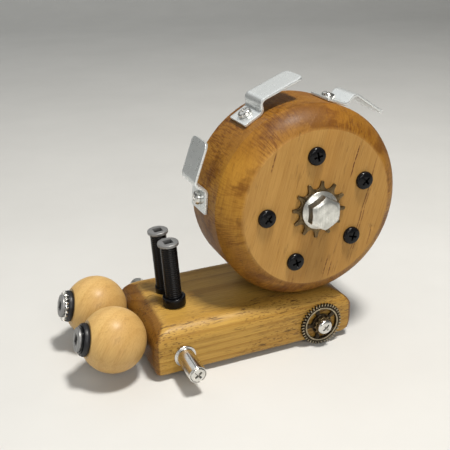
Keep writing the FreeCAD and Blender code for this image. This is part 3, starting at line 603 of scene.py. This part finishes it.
def crack_cutter():
    """Narrow wedge along a bent line in the block's top."""
    crack = [(-45.6, 4.3), (-43.2, 4.9), (-40.8, 5.2), (-38.4, 5.9), (-36.0, 6.3)]
    verts, faces = [], []
    for i, (x, y) in enumerate(crack):
        wide = 0.34 * math.sin(math.pi * (i + 0.35) / (len(crack) - 0.3))
        verts += [(x, y - wide, HEIGHT + 1), (x, y + wide, HEIGHT + 1), (x, y, HEIGHT - 1.6)]
    for i in range(len(crack) - 1):
        a, b = 3 * i, 3 * i + 3
        faces += [(a, b, b + 1, a + 1), (a + 1, b + 1, b + 2, a + 2), (a + 2, b + 2, b, a)]
    faces += [(0, 1, 2), (3 * len(crack) - 3, 3 * len(crack) - 1, 3 * len(crack) - 2)]
    return new_object("cutter", verts, faces)


def make_block():
    """Block built of level outlines, with worn edges, two screw recesses below and a crack in its top."""
    top, low = 8.0, 2.2
    rows = [(inset, 0.0) for inset in (27.9, 24, 19, 14, 9, 5)]
    rows += [(low * (1 - math.sin(a)), low * (1 - math.cos(a)))
             for a in (math.radians(15 * k) for k in range(7))]
    rows += [(0.0, low + (HEIGHT - top - low) * k / 9) for k in range(1, 9)]
    rows += [(top * (1 - math.cos(a)), HEIGHT - top + top * math.sin(a))
             for a in (math.radians(5 * k) for k in range(19))]
    rows += [(top + k, HEIGHT) for k in range(1, 20)] + [(27.9, HEIGHT)]
    verts = []
    for inset, z in rows:
        for x, y in rounded_rectangle(LENGTH / 2 - inset, WIDTH / 2 - inset, 3.2 + 0.55 * inset):
            point = Vector((x, y, z))
            onto_round(point, 1, True, 12.0, 12.4)
            onto_round(point, 1, False, 8.0, 10.0)
            onto_round(point, -1, True, 10.0, 10.5)
            onto_round(point, -1, False, 4.0, 5.0)
            dip = 0.16 * (1 + noise.noise(point * 0.09)) + 0.04 * (1 + noise.noise(point * 0.5))
            inward = Vector((-point.x / LENGTH, -point.y / WIDTH, (0.35 if z < 6 else -0.5)))
            verts.append(point + inward.normalized() * dip)
    count = len(verts) // len(rows)
    faces = ring_faces(len(rows), count)
    faces.append(tuple(range(count))[::-1])
    faces.append(tuple(range((len(rows) - 1) * count, len(rows) * count)))
    block = new_object("block", verts, faces, 60)
    for x in RECESS_X:
        hole = lathe("cutter", [(0, -1), (RECESS_RADIUS, -1), (RECESS_RADIUS, RECESS_DEPTH),
                                (0, RECESS_DEPTH)], 48)
        hole.location = (x, BOARD_Y, 0)
        bpy.context.view_layer.update()
        carve(block, hole, 50)
    return carve(block, crack_cutter(), 50)


place(make_block(), "snail_body", (BLOCK_X, 0, BLOCK_Z), material=pine, nodes=["body_block"])

for i, (x, y) in enumerate((x, y) for x in (-32.85, 32.85) for y in (-18.65, 18.65)):
    pad = lathe(f"foot_pad_{i + 1}", [(0, 0), (6, 0, 0.5), (5.9, BLOCK_Z, 0.5), (0, BLOCK_Z)], 64)
    place(pad, "snail_body", (BLOCK_X + x, y, 0), material=brown_pad,
          nodes=["foot_pads"])


# ---------------------------------------------------------------- upright and axle

def make_upright():
    half, rise = 17.0, WHEEL.z - BLOCK_TOP
    arch = [(half * math.cos(a), rise + half * math.sin(a))
            for a in (math.pi * k / 48 for k in range(49))]
    obj = prism("upright", [(-half, 0), (half, 0)] + arch, -6.0, 6.0)
    obj.data.transform(NEAR)
    return bevelled(obj, 1.5, 4)


place(make_upright(), "snail_body", (WHEEL.x, BOARD_Y, BLOCK_TOP), material=board_wood,
      nodes=["wheel_upright"])
for i, x in enumerate((-9, 9)):
    screw = pan_head(f"upright_screw_{i + 1}", 4.0, PAN_HEIGHT, 2.0, 6, 20 + 50 * i)
    place(screw, "snail_body", (WHEEL.x + x, BOARD_Y, BLOCK_Z + RECESS_DEPTH),
          Matrix.Rotation(math.pi, 4, "X"), bright_steel, ["upright_screws"])


def hex_head(name, flats, low, high, around=96):
    """Six-sided head whose top edge is turned to a round bevel."""
    corner = flats / 2 / math.cos(math.pi / 6)
    verts = []
    levels = [low] + [high - drop for drop in (1.3, 1.1, 0.9, 0.7, 0.5, 0.3, 0.12, 0)]
    for z in levels:
        limit = corner if z < high - 1.2 else flats * 0.42 + (high - z) * 1.9
        for k in range(around):
            a = 2 * math.pi * k / around
            side = (a + math.pi / 6) % (math.pi / 3) - math.pi / 6
            flat = flats / 2 / math.cos(math.pi / 6 - abs(side))
            r = min(flat, limit)
            verts.append((r * math.cos(a), r * math.sin(a), z))
    for r in (flats * 0.405, flats * 0.2, 0.0):
        for k in range(around):
            a = 2 * math.pi * k / around
            verts.append((r * math.cos(a), r * math.sin(a), high + 0.08))
    return new_object(name, verts, ring_faces(len(verts) // around, around), 24)


flange_y = WHEEL.y - BOLT_GAP
flange = lathe("flange", [(4, -0.02), (8.4, 0, 0.3), (8.6, 0.85, 0.35), (6.6, 2.2, 0.6), (5, 2.3)], 96)
shank = lathe("shank", [(0, -69.7), (3.4, -69.7, 0.3), (4, -69), (4, 0.1), (0, 0.1)], 64)
bolt = joined("axle_bolt_piece", [flange, hex_head("hex", HEX_FLATS, 1.2, 6.45), shank])
bolt.data.transform(Matrix.Rotation(math.radians(30), 4, "Z"))
shade(bolt, 26)
place(bolt, "snail_body", (WHEEL.x, flange_y, WHEEL.z), NEAR, bolt_zinc, ["axle_bolt"])


def spiked(root, tip, spikes):
    """Outline of blunt spikes with round valleys between them."""
    points = []
    for spike in range(spikes):
        middle, side = 2 * math.pi * spike / spikes, []
        for k in range(15):
            drop = 1 - k / 14
            radius = root + (tip - root) * (1 - drop)
            half = min(0.62 + 0.55 * drop + 1.3 * drop ** 7, math.pi * root / spikes)
            side.append((radius, half / radius))
        side.append((tip + 0.12, 0.03))
        points += [(r, middle - a) for r, a in side] + [(r, middle + a) for r, a in reversed(side)]
    return [(r * math.cos(a), r * math.sin(a)) for r, a in points]


outline = spiked(9.4, 12.65, 12)
spikes = bevelled(band("spikes", outline, circle(4.1, len(outline), -0.26), 0.0, 1.0), 0.12)
spikes.data.transform(Matrix.Rotation(math.radians(6), 4, "Z"))
place(spikes, "snail_body", (WHEEL.x, flange_y, WHEEL.z), FAR, bronze, ["spiked_washer"])

for name, y in (("axle_spacer_washer", 8.15), ("axle_back_washer", 21.35)):
    place(tube(name + "_piece", 4.1, 8.0, 0, 1.2), "snail_body", (WHEEL.x, y, WHEEL.z), FAR,
          bright_steel, [name])
nut = joined("lock_nut", [hex_head("hex", HEX_FLATS, 0.0, 6.4)])
shade(nut, 26)
place(nut, "snail_body", (WHEEL.x, NUT_Y, WHEEL.z), FAR, bright_steel, ["axle_lock_nut"])
place(tube("lock_nut_collar", 4.02, 5.9, 6.3, 7.9, 0.5), "snail_body", (WHEEL.x, NUT_Y, WHEEL.z), FAR,
      nylon)


# ---------------------------------------------------------------- shell

def shell_profile():
    """Half section of the disc: flat face, bulging bevel, straight rim, small back edge and back."""
    path = [(r, 0.0) for r in (6.0, 9, 12, 15, 18, 21, 24, 27, 29, 31, 33, 34.2, 34.6, FACE)]
    bevel_depth, back_edge = 9.8, 2.5
    start, end, radius = Vector((FACE, 0.0)), Vector((RIM, bevel_depth)), 17.0
    chord = end - start
    normal = Vector((-chord.y, chord.x)).normalized()
    centre = (start + end) / 2 + normal * math.sqrt(radius ** 2 - (chord.length / 2) ** 2)
    first, sweep = start - centre, (start - centre).angle_signed(end - centre)
    for k in range(1, 15):
        a = -sweep * k / 14
        path.append((centre.x + first.x * math.cos(a) - first.y * math.sin(a),
                     centre.y + first.x * math.sin(a) + first.y * math.cos(a)))
    path += [(RIM, bevel_depth + 1.6 * k) for k in range(1, 17)]
    path += [(RIM - back_edge * (1 - math.cos(a)), THICK - back_edge + back_edge * math.sin(a))
             for a in (math.radians(15 * k) for k in range(7))]
    return path + [(r, THICK) for r in (38, 30, 20, 12, 6.0)]


def make_shell():
    """Turned disc with a crisp face edge, a slightly uneven surface and a small dent in the face."""
    path, around = shell_profile(), 300
    dent = Vector((27.4, 13.2))
    verts = []
    for row, (r, z) in enumerate(path):
        for k in range(around):
            a = 2 * math.pi * k / around
            x, y = r * math.cos(a), r * math.sin(a)
            dip = 0.05 * (1 + noise.noise(Vector((x * 0.25, y * 0.25, z * 0.25))))
            ease = 1.0 if r > 7 else 0.0
            near_dent = math.exp(-((Vector((x, y)) - dent).length / 0.9) ** 2) if z < 0.1 else 0.0
            inset = dip * ease if r > FACE else 0.0
            scale = (r - inset) / r
            sink = (0.06 * ease * (1 + noise.noise(Vector((x, y, 3)) * 0.12)) if z < 0.1 else 0.0)
            verts.append((x * scale, y * scale, z + sink + 0.7 * near_dent))
    return new_object("shell_disc", verts, ring_faces(len(path), around), 20)


place(make_shell(), "shell", WHEEL, FAR, shell_wood, ["shell_wheel"])
place(tube("wheel_bush_piece", 4.05, 6.0, 0.0, THICK, 0.2), "shell", WHEEL, FAR, bush_bronze,
      ["wheel_bush"])
for i, (reach, angle) in enumerate(SHELL_SCREWS):
    a = math.radians(angle)
    screw = pan_head(f"shell_screw_{i + 1}", 4.0, PAN_HEIGHT, 2.0, 6, 12 + 31 * i)
    place(screw, "shell", WHEEL + Vector((reach * math.cos(a), 0, reach * math.sin(a))), NEAR,
          black_steel, ["shell_screws"])


def clip_line(back, riser, tab, mid, front=5.6, bend=2.6):
    """Points along the middle of a clip's strip: local x along the rim, y away from it."""
    lift, drop = math.radians(riser[1]), math.radians(tab[1])
    b = Vector((front, 0.0))
    c = b + Vector((math.cos(lift), math.sin(lift))) * riser[0]
    d = c + Vector((math.cos(drop), math.sin(drop))) * tab[0]
    low_turn, high_turn = lift / 2, (lift + drop) / 2
    b_mid = b + Vector((-math.sin(low_turn), math.cos(low_turn))) * mid / math.cos(low_turn)
    c_mid = c + Vector((-math.sin(high_turn), math.cos(high_turn))) * mid / math.cos((lift - drop) / 2)
    d_mid = d + Vector((-math.sin(drop), math.cos(drop))) * mid
    line = rounded_path([(-back, mid), (*b_mid, bend), (*c_mid, bend), tuple(d_mid)], 12)
    points = [Vector(line[0])]
    for p in line[1:]:
        step = Vector(p) - points[-1]
        pieces = max(1, int(step.length / 0.35))
        base = points[-1].copy()
        points += [base + step * k / pieces for k in range(1, pieces + 1)]
    return points


def make_clip(name, back, riser, tab):
    """Bent strip: local x along the rim, z away from it. Its ends have rounded corners."""
    thick, half_width, across = 1.2, 8.0, 12
    tight_corner, round_corner = 0.5, 2.6
    mid = thick / 2
    points = clip_line(back, riser, tab, mid)
    total = [0.0]
    for p, q in zip(points, points[1:]):
        total.append(total[-1] + (q - p).length)
    top, bottom = [], []
    for i, p in enumerate(points):
        ahead = points[min(i + 1, len(points) - 1)] - points[max(i - 1, 0)]
        normal = Vector((-ahead.y, ahead.x)).normalized()
        from_start, to_end = total[i], total[-1] - total[i]
        cut = 0.0
        for gap, r in ((from_start, tight_corner), (to_end, round_corner)):
            if gap < r:
                cut = max(cut, r - math.sqrt(max(r * r - (r - gap) ** 2, 0.0)))
        width = half_width - cut
        for k in range(across + 1):
            y = width * (2 * k / across - 1)
            top.append((p.x + normal.x * mid, y, p.y + normal.y * mid))
            bottom.append((p.x - normal.x * mid, y, p.y - normal.y * mid))
    verts, row, offset = top + bottom, across + 1, len(top)
    faces = []
    for i in range(len(points) - 1):
        for k in range(across):
            a = i * row + k
            faces.append((a, a + 1, a + row + 1, a + row))
            faces.append((offset + a, offset + a + row, offset + a + row + 1, offset + a + 1))
        for a in (i * row, i * row + across):
            faces.append((a, a + row, offset + a + row, offset + a))
    for k in range(across):
        for a in (k, (len(points) - 1) * row + k):
            faces.append((a, a + 1, offset + a + 1, offset + a))
    obj = new_object(name, verts, faces)
    return bevelled(obj, 0.16, 2, 40)


for i, (angle, clip_y, back, riser, tab) in enumerate(CLIPS):
    a = math.radians(angle)
    away = Vector((math.cos(a), 0, math.sin(a)))
    turn = Matrix.Rotation(math.radians(90 - angle), 4, "Y")
    axis = Vector((WHEEL.x, clip_y, WHEEL.z))
    strip = make_clip(f"clip_{i + 1}_strip", back, riser, tab)
    carve(strip, lathe("screw_hole", [(0, 3), (1.75, 3), (1.75, -1), (0, -1)], 48))
    place(strip, f"clip_{i + 1}", axis + away * (RIM + 0.05), turn, zinc,
          [f"rim_clip_{i + 1}"])
    screw = pan_head(f"clip_screw_{i + 1}", 3.1, PAN_HEIGHT, 1.6, 6, 25 + 40 * i)
    place(screw, "shell", axis + away * (RIM + 1.3), turn, bright_steel, ["clip_screws"])


# ---------------------------------------------------------------- eyes

LOOK = Vector((-math.cos(math.radians(14.5)), 0, math.sin(math.radians(14.5))))
LOOK_TURN = LOOK.to_track_quat("Z", "Y").to_matrix().to_4x4()


def make_ball(name):
    """Ball about local Z, cut flat where the eye's washer sits."""
    radius = 14.3
    stop = math.asin(EYE_SEAT / radius)
    path = [(radius * math.cos(a), radius * math.sin(a))
            for a in (-math.pi / 2 + (stop + math.pi / 2) * k / 56 for k in range(57))]
    path += [(path[-1][0] - 0.25, EYE_SEAT + 0.02), (2.5, EYE_SEAT)]
    return lathe(name, path, 112, sharp=28)


def eye_head(name, thick):
    obj = lathe(name, [(0, thick), (5.2, thick, 0.4), (5.2, 0, 0.2), (2.5, 0), (2.5, -4), (0, -4)], 80)
    return carve(obj, square_cutter(thick, 4.2, thick * 0.8))


for side, way in SIDES.items():
    centre = Vector((BLOCK_X - 62.82, 15.9 * way, BLOCK_Z + 16.9))
    place(make_ball(f"{side}_ball"), "snail_body", centre, LOOK_TURN, beech, [f"{side}_eye_ball"])
    pad = lathe(f"{side}_rubber", [(2.6, 0), (7.0, 0, 0.5), (7.2, 1.3, 1.6), (6.8, 2.6, 0.5),
                                   (2.6, 2.6)], 96)
    place(pad, "snail_body", centre + LOOK * EYE_SEAT, LOOK_TURN, black_rubber,
          [f"{side}_eye_rubber_washer"])
    if side == "near":
        step = tube("near_ring", 2.6, 6.1, 0, 0.7, 0.25)
        place(step, "snail_body", centre + LOOK * EYE_RING_AT, LOOK_TURN, black_steel, ["near_eye_ring"])
        front = 15.1
    else:
        outline = toothed(5.5, 6.98, 20, 0.56, 0.8)
        star = bevelled(band("far_star", outline, circle(2.6, len(outline)), 0, 1.05), 0.1)
        place(star, "snail_body", centre + LOOK * EYE_RING_AT, LOOK_TURN, bright_steel,
              ["far_eye_star_washer"])
        front = 15.5
    place(eye_head(f"{side}_eye_head", 1.2), "snail_body", centre + LOOK * front, LOOK_TURN,
          grey_steel, [f"{side}_eye_screw"])


# ---------------------------------------------------------------- antennae and arms

LEAN = Matrix.Rotation(math.radians(-3), 4, "Y")

for side, way in SIDES.items():
    foot = Vector((BLOCK_X - 31.7, 7.2 * way, BLOCK_TOP))
    high = 31.2
    thread = threaded(f"{side}_thread", 3.7, 0.24, 1.06, 0, high - 1.4)
    place(thread, "snail_body", foot, LEAN, black_steel, nodes=[f"{side}_antenna_bolt"])
    head = lathe(f"{side}_antenna_head", [(0, high), (4.7, high, 0.4), (4.7, high - 1.4, 0.25),
                                          (3.3, high - 1.4), (3.3, high - 3), (0, high - 3)], 80)
    carve(head, square_cutter(high, 4.0, 2.2))
    place(head, "snail_body", foot, LEAN, grey_steel)
    wide, tall = (5.2, 4.6) if side == "near" else (4.2, 3.0)
    place(tube(f"{side}_collar", 3.72, wide, 0.27, tall, 0.42), "snail_body", foot, LEAN, black_steel,
          nodes=[f"{side}_antenna_collar"])

    root = Vector((BLOCK_X - 35.1, WIDTH / 2 * way, BLOCK_Z + 8.7))
    sleeve = lathe(f"{side}_sleeve", [(ARM_BORE, 0.05), (4.95, 0, 0.3), (4.95, 1.0, 0.4), (3.9, 1.0, 0.25),
                                      (3.9, ARM_LENGTH, 0.35), (3.37, ARM_LENGTH, 0.15),
                                      (3.37, ARM_SEAT), (ARM_BORE, ARM_SEAT)], 96)
    place(sleeve, "snail_body", root, OUT[side], bright_steel, [f"{side}_arm_sleeve"])
    dome = 2.3
    plug = lathe(f"{side}_arm_head", [(0, dome), (3.25, dome, 0.6), (3.25, 0, 0.2), (2, 0), (2, -5),
                                      (0, -5)], 72)
    carve(plug, cross_cutter(dome, 2.3, 1.15, 1.3))
    plug.data.transform(Matrix.Rotation(math.radians(38), 4, "Z"))
    place(plug, "snail_body", root + Vector((0, ARM_SEAT * way, 0)), OUT[side], bright_steel,
          [f"{side}_arm_screw"])


# ---------------------------------------------------------------- gears at the tail

def make_gear(name):
    teeth = toothed(9.05, 10.35, GEAR_TEETH)
    rim = band("rim", teeth, circle(7.6, len(teeth)), 0.0, 1.2)
    bevelled(rim, 0.12)
    hub = tube("hub", 2.05, 4.9, 0.05, 1.5, 0.15)
    spokes = []
    for k in range(5):
        spoke = prism("spoke", [(4.5, -0.75), (8.0, -1.1), (8.0, 1.1), (4.5, 0.75)], 0.15, 1.2)
        bevelled(spoke, 0.15)
        spoke.matrix_basis = Matrix.Rotation(2 * math.pi * (k + 0.5) / 5, 4, "Z")
        spokes.append(spoke)
    return joined(name, [rim, hub] + spokes)


def make_tooth_caps(name):
    """Tips of the teeth, standing a little above the dark rim; their lighter bronze is a painted highlight.
    """
    caps = []
    for k in range(GEAR_TEETH):
        cap = prism("cap", [(9.15, -0.3), (10.2, -0.24), (10.2, 0.24), (9.15, 0.3)], 1.1, 1.45)
        bevelled(cap, 0.1)
        cap.matrix_basis = Matrix.Rotation(2 * math.pi * k / GEAR_TEETH, 4, "Z")
        caps.append(cap)
    return joined(name, caps)


for side, way in SIDES.items():
    wall = Vector((BLOCK_X + GEAR_AT[0], WIDTH / 2 * way, BLOCK_Z + GEAR_AT[1]))
    away = Vector((0, way, 0))
    seat = wall + away * 0.3
    gear = make_gear(f"{side}_gear_wheel")
    shade(gear, 40)
    place(gear, f"{side}_gear", seat, OUT[side], dark_bronze, [f"{side}_tail_gear"])
    caps = make_tooth_caps(f"{side}_tooth_tips")
    shade(caps, 40)
    # Tooth tips and the thin lip are in lighter bronze: painted highlights.
    place(caps, f"{side}_gear", seat, OUT[side], bronze_highlight)
    place(tube(f"{side}_gear_lip", 7.75, 8.35, 1.1, 1.5, 0.14), f"{side}_gear", seat, OUT[side],
          bronze_highlight)
    teeth = toothed(3.9, 4.65, 12)
    cog = bevelled(band(f"{side}_cog", teeth, circle(2.05, len(teeth)), 0.0, 1.4), 0.12)
    place(cog, f"{side}_gear", wall + away * 1.8, OUT[side], bronze, [f"{side}_gear_cog"])
    place(tube(f"{side}_bush", 1.52, 2.0, 0, 3.5, 0.1, 48), "snail_body", wall, OUT[side], bush_bronze,
          [f"{side}_gear_bush"])
    screw = pan_head(f"{side}_gear_screw_piece", 3.5, PAN_HEIGHT, 1.5, 4, 40)
    place(screw, "snail_body", wall + away * 3.5, OUT[side], bright_steel, [f"{side}_gear_screw"])


# ---------------------------------------------------------------- floor, light and camera

def make_floor():
    """Paper sweep that runs level and then bends up behind the part."""
    reach, back, rise, bend = 2.2, 1.6, 2.0, 0.5
    profile = [(-reach, 0.0), (back - bend, 0.0)]
    profile += [(back - bend + bend * math.sin(a), bend * (1 - math.cos(a)))
                for a in (math.radians(6 * k) for k in range(1, 16))]
    profile.append((back, rise))
    verts = [(x, y, z) for y, z in profile for x in (-2.5, 2.5)]
    faces = [(2 * k, 2 * k + 1, 2 * k + 3, 2 * k + 2) for k in range(len(profile) - 1)]
    floor = new_object("floor", verts, faces, 80)
    floor.matrix_world = Matrix.Rotation(math.radians(-22), 4, "Z")
    n = Nodes("floor_paper")
    tone = n.ramp(n.noise(n.coords, 9, 4.0, 0.6),
                  [(0.3, (0.60, 0.60, 0.585)), (0.7, (0.64, 0.64, 0.625))])
    floor.data.materials.append(n.finish(Base_Color=tone, Roughness=0.75))
    floor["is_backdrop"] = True


def area_light(name, position, target, size_x, size_y, power, colour):
    data = bpy.data.lights.new(name, "AREA")
    data.shape = "RECTANGLE"
    data.size, data.size_y = size_x, size_y
    data.energy = power
    data.color = colour
    lamp = bpy.data.objects.new(name, data)
    lamp.location = position
    aim = Vector(target) - Vector(position)
    lamp.rotation_euler = aim.to_track_quat("-Z", "Y").to_euler()
    bpy.context.scene.collection.objects.link(lamp)
    lamp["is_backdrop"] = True


make_floor()
middle = (0, 0, 0.05)
area_light("key", (0.10, -0.22, 0.85), middle, 0.14, 0.14, 8.2, (1.0, 0.96, 0.90))
area_light("front", (-0.10, -0.85, 0.50), middle, 0.6, 0.45, 3.1, (1.0, 0.98, 0.95))
area_light("side", (-0.85, -0.25, 0.30), middle, 0.5, 0.5, 0.7, (1.0, 0.99, 0.97))
area_light("sky", (-0.30, 1.00, 1.20), (0, 0.35, 0.05), 2.0, 1.4, 5.5, (0.97, 0.99, 1.0))

world = bpy.data.worlds.new("studio")
bpy.context.scene.world = world
world.use_nodes = True
background = world.node_tree.nodes["Background"]
background.inputs["Color"].default_value = (0.80, 0.82, 0.80, 1)
background.inputs["Strength"].default_value = 0.14

bpy.context.scene.view_settings.view_transform = "Standard"
camera = bpy.data.objects.new("camera", bpy.data.cameras.new("camera"))
bpy.context.scene.collection.objects.link(camera)
bpy.context.scene.camera = camera
camera.data.lens = 58.6
camera.data.sensor_width = 36.0
camera.data.clip_start = 0.01
camera.location = (-0.11527, -0.2842, 0.1855)
yaw, pitch, roll = math.radians(22.24), math.radians(22.97), math.radians(-1.37)
camera.rotation_euler = (Matrix.Rotation(-yaw, 4, "Z") @ Matrix.Rotation(math.pi / 2 - pitch, 4, "X")
                         @ Matrix.Rotation(roll, 4, "Z")).to_euler()

low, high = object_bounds()
